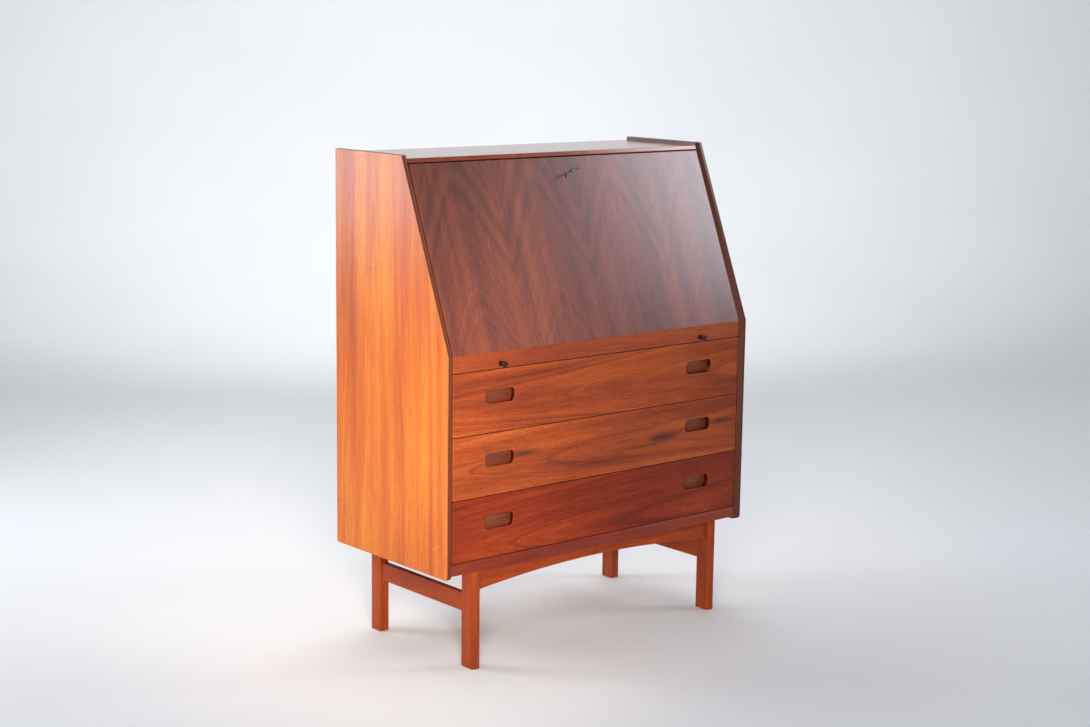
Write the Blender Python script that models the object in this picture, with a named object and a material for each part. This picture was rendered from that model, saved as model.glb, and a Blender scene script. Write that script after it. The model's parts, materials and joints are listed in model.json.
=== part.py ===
"""Secretary desk: a teak case on a low leg frame, with a sloping flap that folds down
to a writing surface, a pull-out support under it and three drawers.

Metres, +Z up. The front faces -Y, and the origin is on the floor, under the centre of
the whole box, knobs included. Run with: blender --background --python part.py
"""

import math

import bmesh
import bpy
from mathutils import Matrix, Vector

# ---- Clearances ---------------------------------------------------------------
SEAT = 0.0003  # between two pieces that touch
RUNNING = 0.0005  # round a piece that slides or turns
FRONT_GAP = 0.002  # the line between two fronts
END_GAP = 0.002  # between a front's end and the side panel

# ---- Case ---------------------------------------------------------------------
WIDTH = 0.900
DEPTH = 0.420
HEIGHT = 1.125
TOP_DEPTH = 0.251  # length of the level top edge of a side panel
PANEL = 0.016  # thickness of a side panel
PANEL_BOTTOM = 0.2165
PANEL_EDGE = 0.008  # flat part of a side panel's front edge
PANEL_CORNER = 0.010  # radius of its lower front corner
FRONT_SETBACK = 0.006  # flap and drawer fronts behind the side panels' edges
PANEL_PROUD = 0.0075  # side panels above the top board
CASE_UNDERSIDE = 0.223
BOARD = 0.016  # top and bottom boards
BOTTOM_RAIL_HEIGHT = 0.025
RAIL = 0.020  # thickness of the bottom rail and of the support rail
BACK_PANEL = 0.006
BACK_INSET = 0.004
DUST_PANEL = 0.008

# ---- Leg frame ----------------------------------------------------------------
LEG_INSET = 0.075  # legs in from the side panels' outer faces
LEG_WIDTH = 0.024
LEG_DEPTH = 0.042
LEG_ROUND = 0.011
FRONT_LEG_SETBACK = 0.004
REAR_LEG_SETBACK = 0.024
APRON = 0.021
APRON_SETBACK = 0.013  # behind the leg's rounded face
APRON_END_HEIGHT = 0.046
APRON_RISE = 0.022  # of the arched lower edge
STRETCHER = 0.016
STRETCHER_LOW = 0.125
STRETCHER_HEIGHT = 0.041

# ---- Drawers ------------------------------------------------------------------
DRAWERS = 3
DRAWER_HEIGHT = 0.138
FRONT = 0.018
DRAWER_SIDE = 0.012
DRAWER_SIDE_GAP = 0.002
DRAWER_BACK = 0.010
DRAWER_BOTTOM = 0.005
SIDE_RAISE = 0.004  # drawer side above the front's lower edge
SIDE_DROP = 0.014  # drawer side below the front's upper edge
BOTTOM_RAISE = 0.009
GROOVE_DEPTH = 0.005
DRAWER_REAR_SPACE = 0.036
RUNNER_HEIGHT = 0.016
RUNNER_REAR_SPACE = 0.012

# ---- Recessed pulls -----------------------------------------------------------
PULL_X = 0.302
PULL_DROP = 0.059  # pull centre below the front's upper edge
PULL_WIDTH = 0.081
PULL_HEIGHT = 0.030
PULL_CORNER = 0.0115  # radius of the slot's corners
PULL_BACK = 0.0045  # thickness of the block that closes the slot from behind
PULL_MARGIN = 0.008  # how far that block reaches past the slot

# ---- Support under the flap ---------------------------------------------------
SUPPORT_HEIGHT = 0.037
ARM_WIDTH = 0.018
ARM_REAR_SPACE = 0.055
KNOB_X = 0.302
KNOB_DROP = 0.027  # knob axis below the support rail's upper edge
KNOB_LENGTH = 0.018
KNOB_RADIUS = 0.0062
KNOB_WAIST = 0.0042

# ---- Flap ---------------------------------------------------------------------
FLAP = 0.016
DESK_FLOOR = FLAP - 0.0005  # level with the opened flap, clear of the support arms
FLAP_RISE = 0.002  # side panel's bend above the support rail
PIN_RADIUS = 0.003
PIN_IN_PANEL = 0.008
PIN_IN_FLAP = 0.015
LIP = 0.0095  # visible edge of the top board over the flap
SHADOW_GAP = 0.0035
STOP_DEPTH = 0.014
STOP_HEIGHT = 0.012
FLOOR_CLEARANCE = 0.0006

# ---- Lock ---------------------------------------------------------------------
KEY_DROP = 0.041  # key axis below the flap's upper edge
LOCK_WIDTH = 0.060
LOCK_HEIGHT = 0.054
LOCK_THICKNESS = 0.0088
LOCK_CHAMBER = 0.0075  # radius of the round space in which the bit turns
BOLT_WIDTH = 0.020
BOLT_THICKNESS = 0.005
BOLT_LENGTH = 0.030
BOLT_DEPTH = 0.0018  # bolt's inner face below the lock's inner face
BOLT_THROW = 0.007
KEYHOLE_RADIUS = 0.0033
KEYHOLE_SLOT = 0.0095
KEYHOLE_SLOT_WIDTH = 0.0034
SHANK_RADIUS = 0.0023
KEY_PROTRUSION = 0.047
BOW_OUTER = 0.0105
BOW_INNER = 0.0065
BOW_THICKNESS = 0.0026
BIT_LENGTH = 0.0048
BIT_REACH = 0.0065
BIT_WIDTH = 0.0022

# ---- Pigeonholes --------------------------------------------------------------
DIVIDER = 0.009
DIVIDER_X = 0.145
DIVIDER_SETBACK = 0.022  # behind the top board's stop
SHELF = 0.009
SHELF_RISE = 0.073  # shelf's underside above the desk floor
SMALL_FRONT = 0.012
SMALL_GAP = 0.001
TRAY_WALL = 0.006
TRAY_FLOOR = 0.004
TRAY_DROP = 0.010
TRAY_REAR_SPACE = 0.015
NOTCH_RADIUS = 0.014

# ---- Derived places -----------------------------------------------------------
PROTRUSION = KNOB_LENGTH - FRONT_SETBACK
PANEL_FRONT = -(DEPTH + PROTRUSION) / 2 + PROTRUSION
PANEL_BACK = PANEL_FRONT + DEPTH
FRONT_PLANE = PANEL_FRONT + FRONT_SETBACK
INNER = WIDTH / 2 - PANEL
CASE_BACK = PANEL_BACK - BACK_INSET - BACK_PANEL - SEAT
RAIL_TOP = CASE_UNDERSIDE + BOTTOM_RAIL_HEIGHT
PITCH = DRAWER_HEIGHT + FRONT_GAP
SUPPORT_LOW = RAIL_TOP + FRONT_GAP + DRAWERS * PITCH
SUPPORT_TOP = SUPPORT_LOW + SUPPORT_HEIGHT
BEND = SUPPORT_TOP + FLAP_RISE
TOP_Z = HEIGHT - PANEL_PROUD
WRITING_Z = SUPPORT_TOP + SEAT + FLAP
SLOPE = math.atan2(DEPTH - TOP_DEPTH, HEIGHT - BEND)  # lean of the flap from upright
FLAP_OPEN = math.pi / 2 + SLOPE
PIVOT_DEPTH = FLAP / 2
PIVOT_Z = SUPPORT_TOP + SEAT + PIVOT_DEPTH
FLAP_OUT = -FRONT_SETBACK
FLAP_IN = FLAP_OUT - FLAP

MERGE = 1e-6
SMOOTH_ANGLE = math.radians(40)
ROUND_STEPS = 8
CORNER_STEPS = 4
TURNED_STEPS = 24
PIN_STEPS = 16


def on_slope(along, out):
    """(y, z) of a point on the side panels' slope: along it from the bend, and out of it."""
    y = PANEL_FRONT + along * math.sin(SLOPE) - out * math.cos(SLOPE)
    return y, BEND + along * math.cos(SLOPE) + out * math.sin(SLOPE)


def along_at(z, out):
    """How far along the slope a plane at this distance out of it reaches height z."""
    return (z - BEND - out * math.sin(SLOPE)) / math.cos(SLOPE)


PIVOT_ALONG = along_at(PIVOT_Z, FLAP_OUT - PIVOT_DEPTH)
PIVOT_Y = on_slope(PIVOT_ALONG, FLAP_OUT - PIVOT_DEPTH)[0]
LIP_ALONG = along_at(TOP_Z, FLAP_OUT) - LIP
FLAP_ALONG = LIP_ALONG - SHADOW_GAP
KEY_ALONG = FLAP_ALONG - KEY_DROP
FLOOR_FRONT = PIVOT_Y + (FLAP - PIVOT_DEPTH) * math.tan(FLAP_OPEN / 2) + FLOOR_CLEARANCE
DIVIDER_FRONT = on_slope(along_at(TOP_Z - BOARD, FLAP_IN), FLAP_IN)[0] + DIVIDER_SETBACK
SHELF_LOW = WRITING_Z + SHELF_RISE


# ---- Scene, materials and objects ---------------------------------------------
def clear_scene():
    for obj in list(bpy.data.objects):
        bpy.data.objects.remove(obj)


def material(name, colour, roughness, metallic=0.0):
    made = bpy.data.materials.new(name)
    made.use_nodes = True
    made.diffuse_color = (*colour, 1.0)
    shader = made.node_tree.nodes["Principled BSDF"]
    shader.inputs["Base Color"].default_value = (*colour, 1.0)
    shader.inputs["Roughness"].default_value = roughness
    shader.inputs["Metallic"].default_value = metallic
    return made


def joint_empty(name, location):
    """The empty that stands on a joint's axis and carries the pieces that move on it."""
    empty = bpy.data.objects.new(name, None)
    empty.location = location
    bpy.context.scene.collection.objects.link(empty)
    return empty


def add_object(name, bm, finish, joint=None):
    """Closes the bmesh and makes it an object, carried by the joint's empty if there is one."""
    bmesh.ops.remove_doubles(bm, verts=bm.verts, dist=MERGE)
    bmesh.ops.recalc_face_normals(bm, faces=bm.faces)
    mesh = bpy.data.meshes.new(name)
    bm.to_mesh(mesh)
    bm.free()
    mesh.materials.append(finish)
    mesh.shade_smooth()
    mesh.set_sharp_from_angle(angle=SMOOTH_ANGLE)
    obj = bpy.data.objects.new(name, mesh)
    bpy.context.scene.collection.objects.link(obj)
    if joint:
        obj.parent = joint
        obj.matrix_parent_inverse = Matrix.Translation(-joint.location)
    return obj


def boolean(obj, operation, name, bm):
    """Cuts a shape out of an object, or joins it on. The shape stays as a hidden helper."""
    helper = add_object(name, bm, obj.data.materials[0], obj.parent)
    helper.hide_render = True
    helper.display_type = "WIRE"
    modifier = obj.modifiers.new(name, "BOOLEAN")
    modifier.operation = operation
    modifier.solver = "EXACT"
    modifier.object = helper


# ---- Shapes -------------------------------------------------------------------
def block(x, y, z):
    """A rectangular solid between the low and high ends of x, y and z."""
    low, high = (Vector(ends) for ends in zip(x, y, z))
    place = Matrix.Translation((low + high) / 2) @ Matrix.Diagonal((*(high - low), 1.0))
    bm = bmesh.new()
    bmesh.ops.create_cube(bm, size=1.0, matrix=place)
    return bm


def prism(outline, sweep):
    """The solid that a flat closed outline sweeps through."""
    bm = bmesh.new()
    face = bm.faces.new([bm.verts.new(point) for point in outline])
    swept = bmesh.ops.extrude_face_region(bm, geom=[face])
    moved = [part for part in swept["geom"] if isinstance(part, bmesh.types.BMVert)]
    bmesh.ops.translate(bm, verts=moved, vec=sweep)
    return bm


def loft(loops, closed=False):
    """Walls from each loop to the next. The ends are capped, or joined when it is closed."""
    bm = bmesh.new()
    rings = [[bm.verts.new(point) for point in loop] for loop in loops]
    pairs = list(zip(rings, rings[1:]))
    if closed:
        pairs.append((rings[-1], rings[0]))
    else:
        bm.faces.new(rings[0])
        bm.faces.new(rings[-1])
    for ring, following in pairs:
        for i in range(len(ring)):
            bm.faces.new((ring[i - 1], ring[i], following[i], following[i - 1]))
    return bm


def arc(centre, radius, start, end, steps):
    """Points on a circle, ends included, with the angles in radians."""
    angles = [start + (end - start) * i / steps for i in range(steps + 1)]
    return [(centre[0] + radius * math.cos(t), centre[1] + radius * math.sin(t)) for t in angles]


def circle(centre, radius, steps):
    return arc(centre, radius, 0, 2 * math.pi, steps)[:-1]


def slot_outline(centre, width, height, radius):
    """A slot with rounded corners, as (x, z) points."""
    points = []
    turn = -math.pi / 2
    for across_sign, up_sign in ((1, -1), (1, 1), (-1, 1), (-1, -1)):
        corner_x = centre[0] + across_sign * (width / 2 - radius)
        corner_z = centre[1] + up_sign * (height / 2 - radius)
        points += arc((corner_x, corner_z), radius, turn, turn + math.pi / 2, CORNER_STEPS)
        turn += math.pi / 2
    return points


def across(points, x):
    """(y, z) points as a loop at this x."""
    return [(x, y, z) for y, z in points]


def facing(points, y):
    """(x, z) points as a loop at this y."""
    return [(x, y, z) for x, z in points]


def rectangle(x, y, z):
    return [(x[0], y[0], z), (x[1], y[0], z), (x[1], y[1], z), (x[0], y[1], z)]


def slope_block(x, along, out):
    """A rectangular solid that lies in the slope's own directions."""
    corners = [(along[0], out[0]), (along[1], out[0]), (along[1], out[1]), (along[0], out[1])]
    outline = across([on_slope(*corner) for corner in corners], x[0])
    return prism(outline, (x[1] - x[0], 0, 0))


def slope_cylinder(along, out, radius, steps):
    """A round bar that stands square to the slope at x = 0, between two depths."""
    loops = []
    for depth in out:
        points = circle((0, along), radius, steps)
        loops.append([(x, *on_slope(place, depth)) for x, place in points])
    return loft(loops)


def mirrored(side, low, high):
    """An x range that is measured outwards from the middle, for side -1 or +1."""
    return (low, high) if side > 0 else (-high, -low)


# ---- Case ---------------------------------------------------------------------
def panel_outline(inset):
    """A side panel's outline, with its front and sloping edges moved in."""
    corner = (PANEL_FRONT + PANEL_CORNER, PANEL_BOTTOM + PANEL_CORNER)
    lower = []
    for y, z in arc((0, 0), 1, -math.pi / 2, -math.pi, ROUND_STEPS // 2):
        lower.append((corner[0] + y * (PANEL_CORNER - inset), corner[1] + z * PANEL_CORNER))
    bend = (PANEL_FRONT + inset, BEND - inset * math.tan(SLOPE / 2))
    top_front = on_slope(along_at(HEIGHT, -inset), -inset)
    return [(PANEL_BACK, PANEL_BOTTOM), *lower, bend, top_front, (PANEL_BACK, HEIGHT)]


def side_panel(name, side, finish):
    """Flat outside, with the front edge bevelled inwards down to the drawer fronts."""
    stations = ((WIDTH / 2, 0), (WIDTH / 2 - PANEL_EDGE, 0), (INNER, FRONT_SETBACK))
    bm = loft([across(panel_outline(inset), side * x) for x, inset in stations])
    panel = add_object(name, bm, finish)
    reach = mirrored(side, INNER - PANEL, INNER + PIN_IN_PANEL)
    boolean(panel, "DIFFERENCE", name + "_pin_hole", pin_bar(reach, PIN_RADIUS + SEAT))


def pin_bar(x, radius):
    outline = across(circle((PIVOT_Y, PIVOT_Z), radius, PIN_STEPS), x[0])
    return prism(outline, (x[1] - x[0], 0, 0))


def top_board(finish):
    """A board whose front edge is rebated, so that the flap closes under a lip."""
    stop_out = FLAP_IN - SEAT
    stop = on_slope(LIP_ALONG - STOP_HEIGHT, stop_out)
    underside = TOP_Z - BOARD
    outline = [
        (PANEL_BACK - BACK_INSET, TOP_Z),
        on_slope(along_at(TOP_Z, FLAP_OUT), FLAP_OUT),
        on_slope(LIP_ALONG, FLAP_OUT),
        on_slope(LIP_ALONG, stop_out),
        stop,
        (stop[0] + STOP_DEPTH, stop[1]),
        (stop[0] + STOP_DEPTH, underside),
        (PANEL_BACK - BACK_INSET, underside),
    ]
    reach = INNER - SEAT
    board = add_object("top_board", prism(across(outline, -reach), (2 * reach, 0, 0)), finish)
    bolt_in = FLAP_IN + BOLT_DEPTH
    mortise = slope_block(
        (-BOLT_WIDTH / 2 - RUNNING, BOLT_WIDTH / 2 + RUNNING),
        (LIP_ALONG - BOLT_THROW, FLAP_ALONG + BOLT_THROW + SHADOW_GAP / 2),
        (bolt_in - RUNNING, bolt_in + BOLT_THICKNESS + RUNNING),
    )
    boolean(board, "DIFFERENCE", "bolt_mortise", mortise)


def bottom_board(finish):
    """The case's floor, with the rail that shows under the lowest drawer."""
    outline = [
        (FRONT_PLANE, CASE_UNDERSIDE),
        (FRONT_PLANE, RAIL_TOP),
        (FRONT_PLANE + RAIL, RAIL_TOP),
        (FRONT_PLANE + RAIL, CASE_UNDERSIDE + BOARD),
        (CASE_BACK, CASE_UNDERSIDE + BOARD),
        (CASE_BACK, CASE_UNDERSIDE),
    ]
    reach = INNER - SEAT
    add_object("bottom_board", prism(across(outline, -reach), (2 * reach, 0, 0)), finish)


def case_boards(wood, plywood):
    reach = (-INNER + SEAT, INNER - SEAT)
    floor = block(reach, (FLOOR_FRONT, CASE_BACK), (WRITING_Z - DESK_FLOOR, WRITING_Z))
    add_object("desk_floor", floor, wood)
    dust_top = SUPPORT_LOW - SEAT
    dust_front = FRONT_PLANE + RAIL + RUNNING
    dust = block(reach, (dust_front, CASE_BACK), (dust_top - DUST_PANEL, dust_top))
    add_object("dust_panel", dust, plywood)
    back_face = PANEL_BACK - BACK_INSET
    back_height = (CASE_UNDERSIDE, TOP_Z - BOARD - SEAT)
    add_object("back_panel", block(reach, (back_face - BACK_PANEL, back_face), back_height), plywood)


# ---- Leg frame ----------------------------------------------------------------
def leg(name, side, y, rounded_y, finish):
    """A flat leg whose outward-facing edge, at the front or the back, is rounded."""
    outer = WIDTH / 2 - LEG_INSET
    bm = block(mirrored(side, outer - LEG_WIDTH, outer), y, (0, CASE_UNDERSIDE - SEAT))
    upright = [edge for edge in bm.edges if is_upright(edge) and at_y(edge, rounded_y)]
    bmesh.ops.bevel(bm, geom=upright, offset=LEG_ROUND, offset_type="OFFSET", affect="EDGES",
                    segments=ROUND_STEPS // 2, profile=0.5, material=-1)
    add_object(name, bm, finish)


def is_upright(edge):
    start, end = (vertex.co for vertex in edge.verts)
    return abs(start.x - end.x) + abs(start.y - end.y) < MERGE


def at_y(edge, y):
    return all(abs(vertex.co.y - y) < MERGE for vertex in edge.verts)


def apron(name, y, finish):
    """A rail between two legs, with its lower edge arched."""
    reach = WIDTH / 2 - LEG_INSET - LEG_WIDTH - SEAT
    top = CASE_UNDERSIDE - SEAT
    end = CASE_UNDERSIDE - APRON_END_HEIGHT
    radius = (reach ** 2 + APRON_RISE ** 2) / (2 * APRON_RISE)
    sweep = math.asin(reach / radius)
    centre = (0, end + APRON_RISE - radius)
    lower = arc(centre, radius, math.pi / 2 + sweep, math.pi / 2 - sweep, 2 * ROUND_STEPS)
    outline = facing([(reach, top), (-reach, top), *lower], y[0])
    add_object(name, prism(outline, (0, y[1] - y[0], 0)), finish)


def leg_frame(finish):
    front = PANEL_FRONT + FRONT_LEG_SETBACK
    back = PANEL_BACK - REAR_LEG_SETBACK
    stretcher_y = (front + LEG_DEPTH + SEAT, back - LEG_DEPTH - SEAT)
    stretcher_outer = WIDTH / 2 - LEG_INSET - (LEG_WIDTH - STRETCHER) / 2
    stretcher_z = (STRETCHER_LOW, STRETCHER_LOW + STRETCHER_HEIGHT)
    for side, word in ((-1, "left"), (1, "right")):
        leg("front_leg_" + word, side, (front, front + LEG_DEPTH), front, finish)
        leg("rear_leg_" + word, side, (back - LEG_DEPTH, back), back, finish)
        stretcher_x = mirrored(side, stretcher_outer - STRETCHER, stretcher_outer)
        add_object("stretcher_" + word, block(stretcher_x, stretcher_y, stretcher_z), finish)
    apron("front_apron", (front + APRON_SETBACK, front + APRON_SETBACK + APRON), finish)
    apron("back_apron", (back - APRON_SETBACK - APRON, back - APRON_SETBACK), finish)


# ---- Drawers ------------------------------------------------------------------
def side_profile(side, low):
    """A drawer side's section: a groove outside for the runner, one inside for the bottom."""
    outer = INNER - DRAWER_SIDE_GAP
    inner = outer - DRAWER_SIDE
    bottom, top = low + SIDE_RAISE, low + DRAWER_HEIGHT - SIDE_DROP
    runner = runner_height(low)
    shelf = (low + BOTTOM_RAISE - SEAT, low + BOTTOM_RAISE + DRAWER_BOTTOM + SEAT)
    points = [
        (inner, bottom),
        (outer, bottom),
        (outer, runner[0] - RUNNING),
        (outer - GROOVE_DEPTH, runner[0] - RUNNING),
        (outer - GROOVE_DEPTH, runner[1] + SEAT),
        (outer, runner[1] + SEAT),
        (outer, top),
        (inner, top),
        (inner, shelf[1]),
        (inner + GROOVE_DEPTH, shelf[1]),
        (inner + GROOVE_DEPTH, shelf[0]),
        (inner, shelf[0]),
    ]
    return [(side * x, z) for x, z in points]


def runner_height(low):
    middle = low + (DRAWER_HEIGHT + SIDE_RAISE - SIDE_DROP) / 2
    return middle - RUNNER_HEIGHT / 2, middle + RUNNER_HEIGHT / 2


def drawer_front(name, low, finish, joint):
    reach = INNER - END_GAP
    y = (FRONT_PLANE, FRONT_PLANE + FRONT)
    front = add_object(name, block((-reach, reach), y, (low, low + DRAWER_HEIGHT)), finish, joint)
    for side, word in ((-1, "left"), (1, "right")):
        slot = slot_outline(pull_centre(side, low), PULL_WIDTH, PULL_HEIGHT, PULL_CORNER)
        start = FRONT_PLANE - FRONT
        hole = prism(facing(slot, start), (0, 3 * FRONT, 0))
        boolean(front, "DIFFERENCE", name + "_slot_" + word, hole)


def pull_centre(side, low):
    return side * PULL_X, low + DRAWER_HEIGHT - PULL_DROP


def pull_back(name, side, low, finish, joint):
    """A block glued behind the slot, which makes it a finger pull."""
    grown = (PULL_WIDTH + 2 * PULL_MARGIN, PULL_HEIGHT + 2 * PULL_MARGIN)
    outline = slot_outline(pull_centre(side, low), *grown, PULL_CORNER + PULL_MARGIN)
    start = FRONT_PLANE + FRONT + SEAT
    add_object(name, prism(facing(outline, start), (0, PULL_BACK, 0)), finish, joint)


def drawer(number, wood, pull_wood, plywood):
    """Drawer number 1 is the lowest."""
    name = f"drawer_{number}"
    low = RAIL_TOP + FRONT_GAP + (number - 1) * PITCH
    joint = joint_empty(name + "_slide", Vector((0, FRONT_PLANE, low)))
    drawer_front(name + "_front", low, wood, joint)
    start = FRONT_PLANE + FRONT + SEAT
    end = CASE_BACK - DRAWER_REAR_SPACE
    inner = INNER - DRAWER_SIDE_GAP - DRAWER_SIDE
    for side, word in ((-1, "left"), (1, "right")):
        board = prism(facing(side_profile(side, low), start), (0, end - start, 0))
        add_object(f"{name}_side_{word}", board, plywood, joint)
        pull_back(f"{name}_pull_{word}", side, low, pull_wood, joint)
    bottom_top = low + BOTTOM_RAISE + DRAWER_BOTTOM
    back = block((-inner + SEAT, inner - SEAT), (end - DRAWER_BACK, end),
                 (bottom_top + SEAT, low + DRAWER_HEIGHT - SIDE_DROP))
    add_object(name + "_back", back, plywood, joint)
    reach = inner + GROOVE_DEPTH - SEAT
    bottom = block((-reach, reach), (start, end), (bottom_top - DRAWER_BOTTOM, bottom_top))
    add_object(name + "_bottom", bottom, plywood, joint)


def runners(finish):
    """Battens on the side panels, on which the grooved drawer sides hang."""
    start = FRONT_PLANE + FRONT + SEAT + RUNNING
    end = CASE_BACK - RUNNER_REAR_SPACE
    outer = INNER - SEAT
    inner = INNER - DRAWER_SIDE_GAP - GROOVE_DEPTH + RUNNING
    for number in range(1, DRAWERS + 1):
        height = runner_height(RAIL_TOP + FRONT_GAP + (number - 1) * PITCH)
        for side, word in ((-1, "left"), (1, "right")):
            batten = block(mirrored(side, inner, outer), (start, end), height)
            add_object(f"drawer_{number}_runner_{word}", batten, finish)


# ---- Support under the flap ---------------------------------------------------
def knob(name, x, finish, joint):
    """A turned knob with a waist and a domed end, on an axis along Y."""
    z = SUPPORT_TOP - KNOB_DROP
    base = FRONT_PLANE - SEAT
    tip = FRONT_PLANE - KNOB_LENGTH
    shoulder = tip + KNOB_RADIUS
    profile = [(0, base), (KNOB_RADIUS, base), (KNOB_WAIST, base + (tip - base) / 3)]
    for radius, depth in arc((0, 0), 1, 0, math.pi / 2, ROUND_STEPS):
        profile.append((KNOB_RADIUS * radius, shoulder - KNOB_RADIUS * depth))
    bm = bmesh.new()
    points = [bm.verts.new((x + radius, y, z)) for radius, y in profile]
    edges = [bm.edges.new(pair) for pair in zip(points, points[1:])]
    bmesh.ops.spin(bm, geom=points + edges, cent=(x, 0, z), axis=(0, 1, 0), dvec=(0, 0, 0),
                   angle=2 * math.pi, steps=TURNED_STEPS, use_merge=True)
    add_object(name, bm, finish, joint)


def support(wood, knob_wood):
    """The full-width rail with its two arms, pulled out to carry the open flap."""
    joint = joint_empty("support_slide", Vector((0, FRONT_PLANE, SUPPORT_LOW)))
    reach = INNER - END_GAP
    rail_back = FRONT_PLANE + RAIL
    height = (SUPPORT_LOW, SUPPORT_TOP)
    rail = block((-reach, reach), (FRONT_PLANE, rail_back), height)
    add_object("support_rail", rail, wood, joint)
    arm_outer = INNER - RUNNING
    arm_y = (rail_back + SEAT, CASE_BACK - ARM_REAR_SPACE)
    for side, word in ((-1, "left"), (1, "right")):
        arm = block(mirrored(side, arm_outer - ARM_WIDTH, arm_outer), arm_y, height)
        add_object("support_arm_" + word, arm, wood, joint)
        knob("knob_" + word, side * KNOB_X, knob_wood, joint)


# ---- Flap and lock ------------------------------------------------------------
def flap_outline():
    """The flap's section. Its lower edge is round about the pivot, so that it clears
    the support rail, and behind the pivot it is cut level, just above the rail."""
    low = PIVOT_Z - PIVOT_DEPTH
    nose = arc((PIVOT_Y, PIVOT_Z), PIVOT_DEPTH, math.pi - SLOPE, 1.5 * math.pi, ROUND_STEPS)
    return [
        on_slope(FLAP_ALONG, FLAP_IN),
        on_slope(FLAP_ALONG, FLAP_OUT),
        *nose,
        on_slope(along_at(low, FLAP_IN), FLAP_IN),
    ]


def flap_panel(finish, joint):
    reach = INNER - END_GAP
    panel = add_object("flap_panel", prism(across(flap_outline(), -reach), (2 * reach, 0, 0)),
                       finish, joint)
    for side, word in ((-1, "left"), (1, "right")):
        hole = mirrored(side, reach - PIN_IN_FLAP - SEAT, INNER + PANEL)
        boolean(panel, "DIFFERENCE", "flap_pin_hole_" + word, pin_bar(hole, PIN_RADIUS + SEAT))
    pocket_half = LOCK_WIDTH / 2 + SEAT
    lock_out = FLAP_IN + SEAT + LOCK_THICKNESS
    pocket = slope_block(
        (-pocket_half, pocket_half),
        (FLAP_ALONG - LOCK_HEIGHT - SEAT, FLAP_ALONG + FLAP),
        (FLAP_IN - FLAP, lock_out + SEAT),
    )
    boolean(panel, "DIFFERENCE", "lock_pocket", pocket)
    depths = (lock_out - SEAT, FLAP_OUT + FLAP)
    hole = slope_cylinder(KEY_ALONG, depths, KEYHOLE_RADIUS, PIN_STEPS)
    boolean(panel, "DIFFERENCE", "keyhole_round", hole)
    half = KEYHOLE_SLOT_WIDTH / 2
    slot = slope_block((-half, half), (KEY_ALONG - KEYHOLE_SLOT, KEY_ALONG), depths)
    boolean(panel, "DIFFERENCE", "keyhole_slot", slot)


def lock(steel, flap_joint, bolt_joint):
    """The lock's case, let into the flap's inner face, and the bolt that it throws."""
    lock_in = FLAP_IN + SEAT
    lock_out = lock_in + LOCK_THICKNESS
    half = LOCK_WIDTH / 2
    case_top = FLAP_ALONG - SEAT
    bm = slope_block((-half, half), (FLAP_ALONG - LOCK_HEIGHT, case_top), (lock_in, lock_out))
    case = add_object("lock_case", bm, steel, flap_joint)
    bolt_in = FLAP_IN + BOLT_DEPTH
    bolt_low = case_top - BOLT_LENGTH
    channel = slope_block(
        (-BOLT_WIDTH / 2 - SEAT, BOLT_WIDTH / 2 + SEAT),
        (bolt_low - RUNNING, FLAP_ALONG + FLAP),
        (bolt_in - SEAT, bolt_in + BOLT_THICKNESS + SEAT),
    )
    boolean(case, "DIFFERENCE", "bolt_channel", channel)
    chamber_depths = (bit_depths()[0] - RUNNING, lock_out + LOCK_THICKNESS)
    chamber = slope_cylinder(KEY_ALONG, chamber_depths, LOCK_CHAMBER, TURNED_STEPS)
    boolean(case, "DIFFERENCE", "bit_chamber", chamber)
    bolt = slope_block(
        (-BOLT_WIDTH / 2, BOLT_WIDTH / 2),
        (bolt_low, case_top),
        (bolt_in, bolt_in + BOLT_THICKNESS),
    )
    add_object("lock_bolt", bolt, steel, bolt_joint)


def bit_depths():
    """Where the key's bit lies, out of the slope: just inside the lock's outer face."""
    outer = FLAP_IN + SEAT + LOCK_THICKNESS - RUNNING
    return outer - BIT_LENGTH, outer


def key(steel, joint):
    """A key with a ring bow, standing in the lock with its bit turned sideways."""
    inner_end = bit_depths()[0]
    bow_centre = FLAP_OUT + KEY_PROTRUSION - BOW_OUTER
    shank_end = bow_centre - (BOW_OUTER + BOW_INNER) / 2
    shank = slope_cylinder(KEY_ALONG, (inner_end, shank_end), SHANK_RADIUS, PIN_STEPS)
    made = add_object("key", shank, steel, joint)
    half = BIT_WIDTH / 2
    bit = slope_block((0, BIT_REACH), (KEY_ALONG - half, KEY_ALONG + half), bit_depths())
    boolean(made, "UNION", "key_bit", bit)
    loops = []
    for radius, level in ((BOW_OUTER, 1), (BOW_OUTER, -1), (BOW_INNER, -1), (BOW_INNER, 1)):
        along = KEY_ALONG + level * BOW_THICKNESS / 2
        points = circle((0, bow_centre), radius, TURNED_STEPS)
        loops.append([(x, *on_slope(along, out)) for x, out in points])
    boolean(made, "UNION", "key_bow", loft(loops, closed=True))


def flap(wood, steel):
    joint = joint_empty("flap_hinge", Vector((0, PIVOT_Y, PIVOT_Z)))
    flap_panel(wood, joint)
    reach = INNER - END_GAP
    for side, word in ((-1, "left"), (1, "right")):
        pin_x = mirrored(side, reach - PIN_IN_FLAP, INNER + PIN_IN_PANEL - SEAT)
        add_object("pivot_pin_" + word, pin_bar(pin_x, PIN_RADIUS), steel, joint)
    key_place = Vector((0, *on_slope(KEY_ALONG, FLAP_OUT)))
    lock(steel, joint, joint_empty("bolt_slide", key_place))
    key(steel, joint_empty("key_turn", key_place))


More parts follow.
